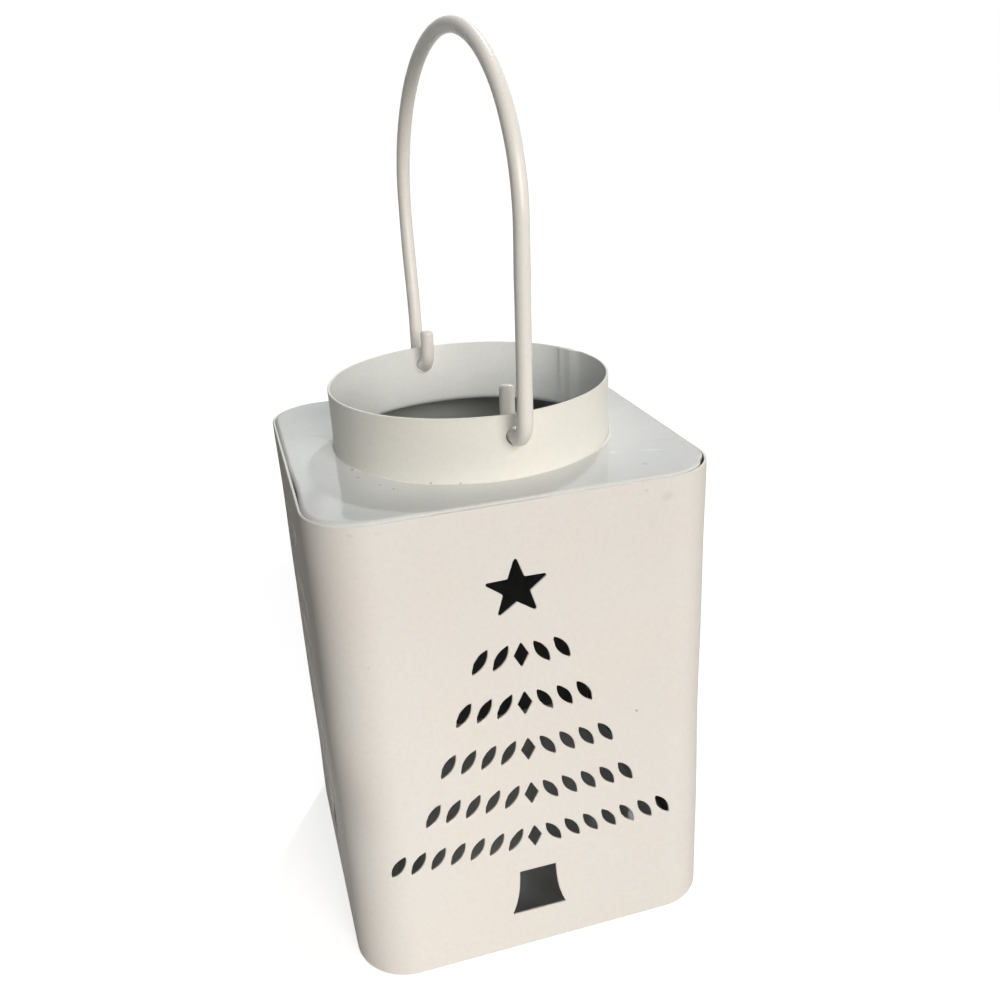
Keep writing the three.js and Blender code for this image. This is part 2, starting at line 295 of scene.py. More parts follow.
PLATE_MARKS = (
    ((-0.0413, -0.0176, PLATE_TOP), (0.0006, 0.0006, 0.002), 0, DARK_TONE, 0.9),
    ((-0.0408, -0.0249, PLATE_TOP), (0.0007, 0.0007, 0.002), 0, DARK_TONE, 0.6),
    ((-0.0357, -0.0329, PLATE_TOP), (0.0006, 0.0006, 0.002), 0, DARK_TONE, 0.5),
    ((-0.0326, -0.0372, PLATE_TOP), (0.0006, 0.0006, 0.002), 0, DARK_TONE, 0.6),
    ((-0.0293, -0.0336, PLATE_TOP), (0.0005, 0.0005, 0.002), 0, DARK_TONE, 0.5),
    ((-0.0441, 0.0123, PLATE_TOP), (0.0007, 0.0007, 0.002), 0, DARK_TONE, 0.5),
    ((0.0391, -0.0480, PLATE_TOP), (0.0011, 0.0011, 0.002), 0, DULL_TONE, 0.9),
    ((0.0345, -0.0350, PLATE_TOP), (0.0013, 0.0012, 0.002), 0, PALE_TONE, 0.7),
    ((0.0534, -0.0309, PLATE_TOP), (0.0080, 0.0009, 0.002), -11, DULL_TONE, 0.3),
    ((0.0460, -0.0379, PLATE_TOP), (0.0042, 0.0008, 0.002), -18, PALE_TONE, 0.5),
)


def on_collar(degrees, height):
    """A place on the collar's outside."""
    angle = math.radians(degrees)
    return COLLAR_RADIUS * math.cos(angle), COLLAR_RADIUS * math.sin(angle), height


COLLAR_MARKS = (
    (on_collar(-177.6, 0.1635), (0.0005, 0.0005, 0.0005), 0, DARK_TONE, 0.7),
    (on_collar(-162.5, 0.1576), (0.0008, 0.0008, 0.0006), 0, RED_TONE, 0.5),
    (on_collar(-145.4, 0.1679), (0.0007, 0.0007, 0.0007), 0, DULL_TONE, 0.3),
    (on_collar(-131.9, 0.1703), (0.0006, 0.0006, 0.0006), 0, DULL_TONE, 0.3),
    (on_collar(-52.3, 0.1575), (0.0014, 0.0014, 0.0004), 0, RED_TONE, 0.7),
    (on_collar(-120.0, 0.1580), (0.0005, 0.0005, 0.0005), 0, DARK_TONE, 0.6),
    (on_collar(-109.0, 0.1580), (0.0005, 0.0005, 0.0005), 0, DARK_TONE, 0.6),
)

# Painted shade: a tall dull band inside the collar along its lap seam, where the lap turns the wall
COLLAR_LAP_SHADE = (
    (on_collar(23.0, 0.168), (0.0026, 0.0026, 0.05), 0, DULL_TONE, 0.8),
)

# The sleeve's outline: a quarter turn, then the wall that follows it, four times over. It starts
# where the right wall meets the back right corner, and the back wall comes first.
QUARTER = CORNER_RADIUS * math.pi / 2
WALL_X = 2 * (HALF_WIDTH - CORNER_RADIUS)
WALL_Y = 2 * (HALF_DEPTH - CORNER_RADIUS)
WALLS = (WALL_X, WALL_Y, WALL_X, WALL_Y)
PERIMETER = 4 * QUARTER + sum(WALLS)
BACK, LEFT, FRONT, RIGHT = range(4)
PIERCED_WALLS = (LEFT, FRONT, RIGHT)
SIDES = ((1, 1), (-1, 1), (-1, -1), (1, -1))
SEAM_START = CORNER_RADIUS * SEAM_ANGLE


def smooth_step(value):
    """From 0 to 1 with a soft start and end."""
    value = min(1.0, max(0.0, value))
    return value * value * (3 - 2 * value)


def bump(distance, reach):
    """A soft hump, 1 in its middle and 0 from its reach on."""
    return smooth_step(1 - abs(distance) / reach)


def wall_middle(wall):
    """How far round the outline the middle of a wall lies."""
    return QUARTER * (wall + 1) + sum(WALLS[:wall]) + WALLS[wall] / 2


def corner_start(corner):
    """How far round the outline a corner starts; corner 0 is the back right one."""
    return QUARTER * corner + sum(WALLS[:corner])


def round_the_outline(way):
    """Place and outward direction on the outside of the sleeve, a way round it."""
    rest = way % PERIMETER
    for corner, wall in enumerate(WALLS):
        side_x, side_y = SIDES[corner]
        centre = Vector((side_x * WALL_X / 2, side_y * WALL_Y / 2))
        angle = corner * math.pi / 2 + min(rest, QUARTER) / CORNER_RADIUS
        out = Vector((math.cos(angle), math.sin(angle)))
        if rest < QUARTER:
            return centre + out * CORNER_RADIUS, out
        rest -= QUARTER
        if rest < wall:
            along = Vector((-out.y, out.x))
            return centre + out * CORNER_RADIUS + along * rest, out
        rest -= wall
    return Vector((HALF_WIDTH, WALL_Y / 2)), Vector((1, 0))


def spaced(breaks, step):
    """Even lines between the breaks, each of which has a line of its own."""
    lines = [breaks[0]]
    for start, stop in zip(breaks, breaks[1:]):
        count = max(1, math.ceil((stop - start) / step))
        lines += [start + (stop - start) * k / count for k in range(1, count + 1)]
    return lines


def outline_ways(corner_step=CORNER_STEP, wall_step=WALL_STEP):
    """Ways round the whole outline, closer together in the corners."""
    ways = []
    for corner, wall in enumerate(WALLS):
        start = corner_start(corner)
        ways += spaced((start, start + QUARTER), corner_step)[:-1]
        ways += spaced((start + QUARTER, start + QUARTER + wall), wall_step)[:-1]
    return ways


def neighbours(outline):
    """Each point of a closed outline with the one before it and the one after it."""
    return zip(outline[-1:] + outline[:-1], outline, outline[1:] + outline[:1])


def curve(start, control, end, steps):
    """Points of a curve with one control point, without its end."""
    points = []
    for k in range(steps):
        t = k / steps
        points.append(start * (1 - t) ** 2 + control * 2 * t * (1 - t) + end * t ** 2)
    return points


def softened(outline, radius):
    """The outline with its sharp corners rounded to arcs."""
    steps = 5
    nearly_straight = math.radians(155)
    most_of_an_edge = 0.45
    soft = []
    for before, corner, after in neighbours(outline):
        back = before - corner
        on = after - corner
        between = back.angle(on)
        if between > nearly_straight:
            soft.append(corner)
            continue
        reach = radius / math.tan(between / 2)
        reach = min(reach, most_of_an_edge * back.length, most_of_an_edge * on.length)
        inward = (back.normalized() + on.normalized()).normalized()
        centre = corner + inward * (reach / math.cos(between / 2))
        start = corner + back.normalized() * reach - centre
        sweep = math.copysign(math.pi - between, on.cross(back))
        for k in range(steps + 1):
            soft.append(centre + Matrix.Rotation(sweep * k / steps, 2) @ start)
    return soft


def widened(outline, distance):
    """The outline, which turns to the left, moved outwards."""
    wide = []
    for before, point, after in neighbours(outline):
        along = (after - before).normalized()
        wide.append(point + Vector((along.y, -along.x)) * distance)
    return wide


def star_outline():
    """The star, its tips softened."""
    corners = []
    for k in range(2 * STAR_POINTS):
        radius = STAR_INNER_RADIUS if k % 2 else STAR_RADIUS
        angle = math.pi / 2 + k * math.pi / STAR_POINTS
        corners.append(Vector((radius * math.cos(angle), radius * math.sin(angle))))
    return softened(corners, STAR_SOFTNESS)


def needle_outline():
    """An upright hole that is pointed at both ends."""
    top = Vector((0, NEEDLE_LENGTH / 2))
    left = curve(top, Vector((-NEEDLE_WIDTH, 0)), -top, NEEDLE_STEPS)
    right = curve(-top, Vector((NEEDLE_WIDTH, 0)), top, NEEDLE_STEPS)
    return softened(left + right, NEEDLE_SOFTNESS)


def lozenge_outline():
    """The hole in the middle of a row."""
    top = Vector((0, LOZENGE_HEIGHT / 2))
    left = Vector((-LOZENGE_WIDTH / 2, 0))
    return softened([top, left, -top, -left], NEEDLE_SOFTNESS)


def trunk_outline():
    """The trunk, which flares to its foot with hollow sides."""
    top = TRUNK_LENGTH / 2
    top_left = Vector((-TRUNK_TOP_WIDTH / 2, top))
    top_right = Vector((TRUNK_TOP_WIDTH / 2, top))
    foot_left = Vector((-TRUNK_FOOT_WIDTH / 2, -top))
    foot_right = Vector((TRUNK_FOOT_WIDTH / 2, -top))
    left_hollow = Vector((-TRUNK_TOP_WIDTH / 2, -TRUNK_HOLLOW))
    right_hollow = Vector((TRUNK_TOP_WIDTH / 2, -TRUNK_HOLLOW))
    left = curve(top_left, left_hollow, foot_left, TRUNK_STEPS)
    right = curve(foot_right, right_hollow, top_right, TRUNK_STEPS)
    return softened(left + [foot_left] + right + [top_right], NEEDLE_SOFTNESS)


def along_sheet(across, half_length):
    """How far from a wall's middle a place seen square on lies along the bent sheet."""
    flat = half_length - CORNER_RADIUS
    beyond = abs(across) - flat
    if beyond <= 0:
        return across
    return math.copysign(flat + CORNER_RADIUS * math.asin(beyond / CORNER_RADIUS), across)


def tree_outlines(wall):
    """Every hole of the tree on one wall, on the flat sheet."""
    half_length = WALLS[wall] / 2 + CORNER_RADIUS
    star_height = SLEEVE_TOP - STAR_BELOW_RIM
    first_row = star_height - FIRST_ROW_BELOW_STAR
    last_row = TRUNK_ABOVE_FOOT + LAST_ROW_ABOVE_TRUNK
    row_pitch = (first_row - last_row) / (len(NEEDLES_PER_SIDE) - 1)
    needle_pitch = (half_length - TREE_MARGIN) / max(NEEDLES_PER_SIDE)
    sheet_middle = (wall_middle(wall) - SEAM_START) % PERIMETER
    outlines = []

    def add(outline, across, height, tilt=0.0):
        down = (star_height - height) / (star_height - TRUNK_ABOVE_FOOT)
        shift = STAR_SHIFT + (TRUNK_SHIFT - STAR_SHIFT) * down
        turn = Matrix.Rotation(tilt, 2)
        placed = []
        for point in outline:
            x, y = turn @ point
            beside = along_sheet(shift + across + x, half_length)
            placed.append(Vector((sheet_middle + beside, height + y)))
        outlines.append(placed)

    add(star_outline(), 0, star_height)
    add(trunk_outline(), 0, TRUNK_ABOVE_FOOT)
    for row, needles in enumerate(NEEDLES_PER_SIDE):
        height = first_row - row * row_pitch
        add(lozenge_outline(), 0, height)
        for k in range(1, needles + 1):
            add(needle_outline(), k * needle_pitch, height, NEEDLE_TILT)
            add(needle_outline(), -k * needle_pitch, height, -NEEDLE_TILT)
    return outlines


def cut_sheet(across, up, holes):
    """Flat sheet in a grid of lines, with its holes cut: its points and its faces."""
    points = []
    edges = []
    hole_faces = []

    def add_line(line, closed):
        first = len(points)
        points.extend(Vector(point) for point in line)
        edges.extend((k, k + 1) for k in range(first, len(points) - 1))
        if closed:
            edges.append((len(points) - 1, first))
        return list(range(first, len(points)))

    for hole in holes:
        hole_faces.append(add_line(hole, True))
        add_line(widened(hole, EDGE_ROUND), True)
    for x in across:
        add_line(((x, up[0]), (x, up[-1])), False)
    for y in up:
        add_line(((across[0], y), (across[-1], y)), False)
    whole_faces_kind = 4
    found = delaunay_2d_cdt(points, edges, hole_faces, whole_faces_kind, CUT_TOLERANCE)
    flat_points, _, faces, _, _, in_holes = found
    return flat_points, [face for face, holes_met in zip(faces, in_holes) if not holes_met]


def add_piece(name, points, faces, materials, face_materials=None):
    """A smooth piece with sharp creases kept."""
    mesh = bpy.data.meshes.new(name)
    mesh.from_pydata(points, [], faces)
    for material in materials:
        mesh.materials.append(material)
    if face_materials:
        mesh.polygons.foreach_set("material_index", face_materials)
    mesh.shade_smooth()
    mesh.set_sharp_from_angle(angle=SHARP_ANGLE)
    mesh.update()
    piece = bpy.data.objects.new(name, mesh)
    bpy.context.scene.collection.objects.link(piece)
    return piece


def bent_sheet(name, across, up, holes, place, materials, kept=None):
    """A sheet of real thickness, cut flat and then put in place by its shape.

    place gives a point from the way across, the way up and the depth below the outer face. The
    materials are those of the outer face and the cut edges, the inner face, and the upper rim.
    kept says of a place on the flat sheet whether it stays."""
    flat_points, faces = cut_sheet(across, up, holes)
    if kept:
        middles = [sum((flat_points[k] for k in face), Vector((0, 0))) / len(face) for face in faces]
        faces = [face for face, middle in zip(faces, middles) if kept(*middle)]
    used = sorted({k for face in faces for k in face})
    new_index = {k: index for index, k in enumerate(used)}
    faces = [[new_index[k] for k in face] for face in faces]
    flat_points = [flat_points[k] for k in used]
    sides = dict.fromkeys(side for face in faces for side in zip(face, face[1:] + face[:1]))
    rim = [side for side in sides if (side[1], side[0]) not in sides]
    on_rim = {point for side in rim for point in side}
    count = len(flat_points)
    points = []
    for inner in (False, True):
        for k, (x, y) in enumerate(flat_points):
            depth = EDGE_ROUND if k in on_rim else 0.0
            points.append(place(x, y, SHEET - depth if inner else depth))
    backs = [[k + count for k in reversed(face)] for face in faces]
    edges = [(b, a, a + count, b + count) for a, b in rim]
    rim_foot = up[-1] - EDGE_ROUND / 2
    edge_materials = [2 if min(flat_points[k].y for k in side) > rim_foot else 0 for side in rim]
    face_materials = [0] * len(faces) + [1] * len(backs) + edge_materials
    return add_piece(name, points, faces + backs + edges, materials, face_materials)


def ringed_piece(name, rings, materials, ring_materials=None):
    """A skin through rings of equal count that closes on itself both ways."""
    count = len(rings[0])
    points = [point for ring in rings for point in ring]
    faces = []
    face_materials = []
    for ring in range(len(rings)):
        low = ring * count
        high = (ring + 1) % len(rings) * count
        for k in range(count):
            following = (k + 1) % count
            faces.append((low + k, low + following, high + following, high + k))
            face_materials.append(ring_materials[ring] if ring_materials else 0)
    return add_piece(name, points, faces, materials, face_materials)


# Materials

class Nodes:
    """Short calls to add nodes to a material, a world or a light."""

    def __init__(self, owner):
        owner.use_nodes = True
        self.tree = owner.node_tree
        self.tree.nodes.clear()

    def add(self, kind, inputs=None, **settings):
        node = self.tree.nodes.new(kind)
        for key, value in settings.items():
            setattr(node, key, value)
        for key, value in (inputs or {}).items():
            if isinstance(value, bpy.types.NodeSocket):
                self.tree.links.new(value, node.inputs[key])
            else:
                node.inputs[key].default_value = value
        return node

    def noise(self, place, scale, detail=2.0, roughness=0.5):
        inputs = {"Vector": place, "Scale": scale, "Detail": detail, "Roughness": roughness}
        return self.add("ShaderNodeTexNoise", inputs).outputs[0]

    def ramp(self, value, low, high, to_low=0.0, to_high=1.0):
        """A value between two bounds, carried over to two others."""
        inputs = {0: value, 1: low, 2: high, 3: to_low, 4: to_high}
        return self.add("ShaderNodeMapRange", inputs).outputs[0]

    def maths(self, operation, *values):
        inputs = dict(enumerate(values))
        return self.add("ShaderNodeMath", inputs, operation=operation).outputs[0]

    def mix(self, factor, first, second, blend="MIX"):
        node = self.add("ShaderNodeMix", data_type="RGBA", blend_type=blend)
        for index, value in ((0, factor), (6, first), (7, second)):
            if isinstance(value, bpy.types.NodeSocket):
                self.tree.links.new(value, node.inputs[index])
            elif index == 0:
                node.inputs[index].default_value = value
            else:
                node.inputs[index].default_value = (*value, 1.0)
        return node.outputs[2]


def specks(nodes, place, scale, share, size):
    """Sparse small dots: 1 inside a dot and 0 elsewhere."""
    cells = nodes.add("ShaderNodeTexVoronoi", {"Vector": place, "Scale": scale})
    chosen = nodes.maths("GREATER_THAN", cells.outputs["Color"], 1 - share)
    near = nodes.ramp(cells.outputs["Distance"], size, size * 0.5)
    return nodes.maths("MULTIPLY", chosen, near)


def marked(nodes, place, colour, marks):
    """The colour with small soft marks on it, each a place, half sizes, a turn, a tone and a share."""
    for at, size, turn, tone, share in marks:
        away = nodes.add("ShaderNodeVectorMath", {0: place, 1: at}, operation="SUBTRACT").outputs[0]
        turned = nodes.add("ShaderNodeVectorRotate", {
            "Vector": away,
            "Angle": -math.radians(turn),
        }, rotation_type="Z_AXIS").outputs[0]
        scaled = nodes.add("ShaderNodeVectorMath", {0: turned, 1: size}, operation="DIVIDE").outputs[0]
        far = nodes.add("ShaderNodeVectorMath", {0: scaled}, operation="LENGTH").outputs["Value"]
        colour = nodes.mix(nodes.ramp(far, 1.0, 0.4, 0.0, share), colour, tone)
    return colour


def painted_metal(name, warm, cool, roughness, specular, coat, coat_roughness, peel, marks=()):
    """Sprayed paint: clouds of two near tones, fine grain, orange peel and a few dark specks."""
    material = bpy.data.materials.new(name)
    nodes = Nodes(material)
    place = nodes.add("ShaderNodeTexCoord").outputs["Object"]
    clouds = nodes.ramp(nodes.noise(place, CLOUD_SCALE, 3.0), *CLOUD_BOUNDS)
    grain = nodes.noise(place, PAINT_GRAIN_SCALE, 3.0, 0.6)
    peel_noise = nodes.noise(place, PEEL_SCALE, 2.0, 0.45)
    colour = nodes.mix(clouds, warm, cool)
    shade = nodes.ramp(grain, *GRAIN_BOUNDS, *GRAIN_SHADES)
    shade_colour = nodes.add("ShaderNodeCombineColor", {0: shade, 1: shade, 2: shade}).outputs[0]
    colour = nodes.mix(1.0, colour, shade_colour, "MULTIPLY")
    dots = specks(nodes, place, SPECK_SCALE, SPECK_SHARE, SPECK_SIZE)
    colour = nodes.mix(dots, colour, SPECK_TONE)
    colour = marked(nodes, place, colour, marks)
    uneven = nodes.noise(place, ROUGHNESS_SCALE, 3.0)
    rough_bounds = (roughness - ROUGHNESS_BELOW, roughness + ROUGHNESS_ABOVE)
    rough = nodes.ramp(uneven, *GRAIN_BOUNDS, *rough_bounds)
    height = nodes.maths("SUBTRACT", peel_noise, nodes.maths("MULTIPLY", dots, SPECK_DEPTH))
    surface = nodes.add("ShaderNodeBump", {
        "Height": height,
        "Strength": peel,
        "Distance": BUMP_DISTANCE,
    })
    shader = nodes.add("ShaderNodeBsdfPrincipled", {
        "Base Color": colour,
        "Roughness": rough,
        "Specular IOR Level": specular,
        "Normal": surface.outputs[0],
        "Coat Weight": coat,
        "Coat Roughness": coat_roughness,
        "Coat IOR": COAT_IOR,
        "Coat Normal": surface.outputs[0],
    })
    nodes.add("ShaderNodeOutputMaterial", {"Surface": shader.outputs[0]})
    return material


def inside_sheet(name, light, dark, high):
    """Inside of the sheet metal, partly metallic: clouds of two tones that turn to a third one high
    up, as painted light at the mouth, with paint at the very top."""
    material = bpy.data.materials.new(name)
    nodes = Nodes(material)
    place = nodes.add("ShaderNodeTexCoord").outputs["Object"]
    clouds = nodes.ramp(nodes.noise(place, INSIDE_CLOUD_SCALE, 5.0, 0.6), *INSIDE_CLOUD_BOUNDS)
    grain = nodes.noise(place, INSIDE_GRAIN_SCALE, 2.0)
    height = nodes.add("ShaderNodeSeparateXYZ", {0: place}).outputs[2]
    mouth_light_share = nodes.ramp(height, *INSIDE_LIGHT_HEIGHTS)
    colour = nodes.mix(mouth_light_share, nodes.mix(clouds, light, dark), high)
    painted = nodes.ramp(height, PLATE_TOP - RIM_PAINT_START, PLATE_TOP - RIM_PAINT_FULL)
    colour = nodes.mix(painted, colour, RIM_PAINT)
    rough = nodes.ramp(grain, *GRAIN_BOUNDS, *INSIDE_ROUGHNESS)
    surface = nodes.add("ShaderNodeBump", {
        "Height": grain,
        "Strength": INSIDE_BUMP,
        "Distance": BUMP_DISTANCE,
    })
    shader = nodes.add("ShaderNodeBsdfPrincipled", {
        "Base Color": colour,
        "Roughness": rough,
        "Normal": surface.outputs[0],
        "Metallic": INSIDE_METALLIC,
    })
    nodes.add("ShaderNodeOutputMaterial", {"Surface": shader.outputs[0]})
    return material


# Sleeve

def sleeve_sag(way, height):
    """How far the sheet lies inside its true outline: gentle hollows and one soft dent."""
    at, _ = round_the_outline(way)
    place = Vector((at.x, at.y, height)) / WALL_SAG_SIZE
    held = smooth_step(height / WALL_HELD_REACH)
    held *= smooth_step((SLEEVE_TOP - height) / WALL_HELD_REACH)
    hollow = WALL_SAG * held * max(0.0, WALL_SAG_MIDDLE + noise.noise(place))
    dent_way = corner_start(FRONT) + DENT_TURN_SHARE * QUARTER
    across = (way - dent_way) / DENT_SIZE
    up = (height - DENT_HEIGHT) / (DENT_STRETCH * DENT_SIZE)
    return hollow + DENT_DEPTH * math.exp(-across * across - up * up)


def lap_drop(way, height):
    """How far the sheet's first stretch dips to pass inside its last one."""
    fade = 0.5 * LAP_RAMP
    between = smooth_step((height - LAP_FOOT + fade) / fade)
    between *= smooth_step((LAP_TOP + fade - height) / fade)
    return LAP_DROP * between * smooth_step(1 - way / LAP_RAMP)


def sleeve_place(way, height, depth):
    """A place in the sleeve's sheet, which starts and ends at the seam."""
    outline_way = (way + SEAM_START) % PERIMETER
    at, out = round_the_outline(outline_way)
    inward = depth + lap_drop(way, height) + sleeve_sag(outline_way, height)
    at = at - out * inward
    return Vector((at.x, at.y, height))


def make_sleeve(paint, inside, rim):
    breaks = [way - SEAM_START for way in outline_ways() if way > SEAM_START + CORNER_STEP / 2]
    lap = spaced((EDGE_ROUND - LAP_WIDTH, 0.0), CORNER_STEP / 2)
    last_corner = spaced((PERIMETER - SEAM_START, PERIMETER - EDGE_ROUND), CORNER_STEP / 2)
    across = [-LAP_WIDTH, *lap, EDGE_ROUND, *breaks, *last_corner, PERIMETER]
    heights = (EDGE_ROUND, LAP_FOOT, LAP_TOP, SLEEVE_TOP - EDGE_ROUND)
    up = [0.0, *spaced(heights, WALL_STEP), SLEEVE_TOP]
    holes = [outline for wall in PIERCED_WALLS for outline in tree_outlines(wall)]

    def kept(way, height):
        return way > 0.0 or LAP_FOOT < height < LAP_TOP

    materials = (paint, inside, rim)
    piece = bent_sheet("sleeve_shell", across, up, holes, sleeve_place, materials, kept)
    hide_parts("body_sleeve")
    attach(piece, "lantern_body")
    return piece


# Top plate and floor pan

def plate_gap(way):
    """Gap between the plate's edge and the inside of the sleeve, a way round the outline."""
    front_rise = smooth_step((way - wall_middle(FRONT)) / GAP_FRONT_RISE)
    front_end = corner_start(RIGHT) + QUARTER
    front = GAP_FRONT * front_rise * smooth_step((front_end - way) / GAP_FRONT_FADE)
    left = GAP_LEFT * bump(way - wall_middle(LEFT) - GAP_LEFT_PLACE, GAP_LEFT_REACH)
    corner_way = corner_start(RIGHT) + CORNER_RADIUS * GAP_CORNER_ANGLE
    corner = GAP_CORNER * bump(way - corner_way, GAP_CORNER_REACH)
    return GAP_TIGHT + front + left + corner


def from_segment(at, start, end):
    """Distance of a place from a straight piece of line."""
    start = Vector(start)
    along = Vector(end) - start
    share = min(1.0, max(0.0, (at - start).dot(along) / along.length_squared))
    return (at - start - along * share).length


def plate_wave(at, share):
    """Unevenness of the pressed plate, none at its edge, with a few creases."""
    held = smooth_step(share / PLATE_HELD_SHARE)
    place = Vector((at.x, at.y, PLATE_WAVE_LAYER)) / PLATE_WAVE_SIZE
    wave = PLATE_WAVE * held * noise.noise(place)
    crease = max(bump(from_segment(at, *ends), CREASE_WIDTH) for ends in PLATE_CREASES)
    return wave - CREASE_DEPTH * crease


def pan_profile(edge_radius, sheet_radius, top, foot, outward):
    """Rounded edge and flange of a pan as steps of inset and height, from the flat to the foot."""
    steps = []
    for k in range(PAN_EDGE_STEPS + 1):
        angle = math.pi / 2 * k / PAN_EDGE_STEPS
        inset = edge_radius - sheet_radius * math.sin(angle)
        steps.append((inset, top - outward * (edge_radius - sheet_radius * math.cos(angle))))
    steps.append((edge_radius - sheet_radius, foot))
    return steps


def pan_rings(ways, inset_at, edge_radius, flat, foot, mouth_radius, wave):
    """Rings of a pressed pan of sheet metal, round from its mouth to its foot and back inside.

    flat is the height of its outer flat face, and foot is the height of the flange's end."""
    outward = math.copysign(1.0, flat - foot)

    def ring(inset, height, share, depth):
        points = []
        for way in ways:
            at, out = round_the_outline(way)
            edge = at - out * (inset_at(way) + inset)
            mouth = edge.normalized() * mouth_radius
            place = edge.lerp(mouth, share)
            lift = wave(place, share)
            points.append(Vector((place.x, place.y, height - outward * depth + lift)))
        return points

    shares = [k / PAN_FLAT_STEPS for k in range(PAN_FLAT_STEPS + 1)]
    rings = [ring(edge_radius, flat, share, 0.0) for share in reversed(shares[1:])]
    for inset, height in pan_profile(edge_radius, edge_radius, flat, foot, outward):
        rings.append(ring(inset, height, 0.0, 0.0))
    inner = pan_profile(edge_radius, edge_radius - SHEET, flat, foot, outward)
    for inset, height in reversed(inner):
        rings.append(ring(inset, height, 0.0, 0.0))
    rings += [ring(edge_radius, flat, share, SHEET) for share in shares[1:]]
    return rings


def facing_out(piece):
    """Turns a closed piece's faces outwards."""
    mesh = bmesh.new()
    mesh.from_mesh(piece.data)
    bmesh.ops.recalc_face_normals(mesh, faces=mesh.faces)
    mesh.to_mesh(piece.data)
    mesh.free()


def make_top_plate(paint, edge, inside):
    mouth = COLLAR_RADIUS + COLLAR_HOLE_CLEARANCE
    rings = pan_rings(
        outline_ways(PLATE_STEP, PLATE_STEP), lambda way: SHEET + plate_gap(way),
        PLATE_EDGE_RADIUS, PLATE_TOP, PLATE_FOOT, mouth, plate_wave,
    )
    flat_count = PAN_FLAT_STEPS
    edge_count = PAN_EDGE_STEPS + 2
    inner_count = len(rings) - flat_count - edge_count
    ring_materials = [0] * flat_count + [1] * edge_count + [2] * inner_count
    piece = ringed_piece("plate_shell", rings, (paint, edge, inside), ring_materials)
    facing_out(piece)
    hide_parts("top_plate")
    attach(piece, "lantern_body")
    return piece


def make_floor_pan(metal):
    rings = pan_rings(
        outline_ways(), lambda way: FLOOR_INSET,
        FLOOR_EDGE_RADIUS, 0.0, FLOOR_RIM, FLOOR_CENTRE_RADIUS, lambda place, share: 0.0,
    )
    piece = ringed_piece("floor_shell", rings, (metal,))
    facing_out(piece)
    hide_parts("base_plate")
    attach(piece, "lantern_body")
    return piece


# Collar

COLLAR_ROUND = 2 * math.pi * COLLAR_RADIUS
FOOT_TOP = PLATE_TOP - SHEET - COLLAR_HOLE_CLEARANCE
FOOT_FLAT = FOOT_RADIUS - COLLAR_RADIUS - FOOT_BEND_RADIUS
FOOT_BEND = FOOT_BEND_RADIUS * math.pi / 2
BAND_START = FOOT_FLAT + FOOT_BEND
COLLAR_UP = BAND_START + COLLAR_TOP - FOOT_TOP - FOOT_BEND_RADIUS


def collar_profile(up):
    """Radius, height and outward direction on the collar's outside, a way up from its foot."""
    if up < FOOT_FLAT:
        return FOOT_RADIUS - up, FOOT_TOP, 0.0, 1.0
    if up < BAND_START:
        angle = (up - FOOT_FLAT) / FOOT_BEND_RADIUS
        centre_radius = COLLAR_RADIUS + FOOT_BEND_RADIUS
        centre_height = FOOT_TOP + FOOT_BEND_RADIUS
        out, high = math.sin(angle), math.cos(angle)
        radius = centre_radius - FOOT_BEND_RADIUS * out
        return radius, centre_height - FOOT_BEND_RADIUS * high, out, high
    height = FOOT_TOP + FOOT_BEND_RADIUS + up - BAND_START
    return COLLAR_RADIUS, height, 1.0, 0.0


def collar_place(way, up, depth):
    """A place in the collar's sheet, whose last stretch laps inside the first one."""
    angle = COLLAR_SEAM_ANGLE + way / COLLAR_RADIUS
    radius, height, out, high = collar_profile(up)
    drop = LAP_DROP * smooth_step((way - COLLAR_ROUND + COLLAR_LAP_RAMP) / COLLAR_LAP_RAMP)
    place = Vector((math.cos(angle), math.sin(angle), height / COLLAR_SAG_HEIGHT))
    wave = noise.noise(place * COLLAR_SAG_WAVES)
    inward = depth + drop + COLLAR_SAG * max(0.0, COLLAR_SAG_MIDDLE + wave)
    radius -= out * inward
    return Vector((radius * math.cos(angle), radius * math.sin(angle), height - high * inward))


def hinge_angles():
    """Angles round the collar at which the bail's hinge line crosses it."""
    level = Vector((HINGE.x, HINGE.y))
    along = Vector((HINGE_AXIS.x, HINGE_AXIS.y)).normalized()
    middle = -level.dot(along)
    half = math.sqrt(middle * middle - level.length_squared + COLLAR_RADIUS ** 2)
    crossings = [level + along * (middle + side * half) for side in (1, -1)]
    return [math.atan2(point.y, point.x) for point in crossings]


def bail_holes():
    """Round holes whose lower edge the bail's wire rests on."""
    height = BAND_START + HINGE.z + BAIL_HOLE_RAISE - FOOT_TOP - FOOT_BEND_RADIUS
    holes = []
    for angle in hinge_angles():
        middle = (angle - COLLAR_SEAM_ANGLE) % (2 * math.pi) * COLLAR_RADIUS
        hole = []
        for k in range(BAIL_HOLE_SIDES):
            turn = 2 * math.pi * k / BAIL_HOLE_SIDES
            across = middle + BAIL_HOLE_RADIUS * math.cos(turn)
            hole.append(Vector((across, height + BAIL_HOLE_RADIUS * math.sin(turn))))
        holes.append(hole)
    return holes


def make_collar(paint, inside, rim):
    last = COLLAR_ROUND + COLLAR_LAP_WIDTH
    across = [0.0, *spaced((EDGE_ROUND, COLLAR_ROUND, last - EDGE_ROUND), COLLAR_STEP), last]
    bend = spaced((FOOT_FLAT, BAND_START), FOOT_BEND / COLLAR_BEND_STEPS)
    band = spaced((BAND_START, COLLAR_UP - EDGE_ROUND), COLLAR_STEP)
    up = [0.0, EDGE_ROUND, *bend, *band[1:], COLLAR_UP]
    materials = (paint, inside, rim)
    piece = bent_sheet("collar_shell", across, up, bail_holes(), collar_place, materials)
    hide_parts("collar")
    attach(piece, "lantern_body")
    return piece


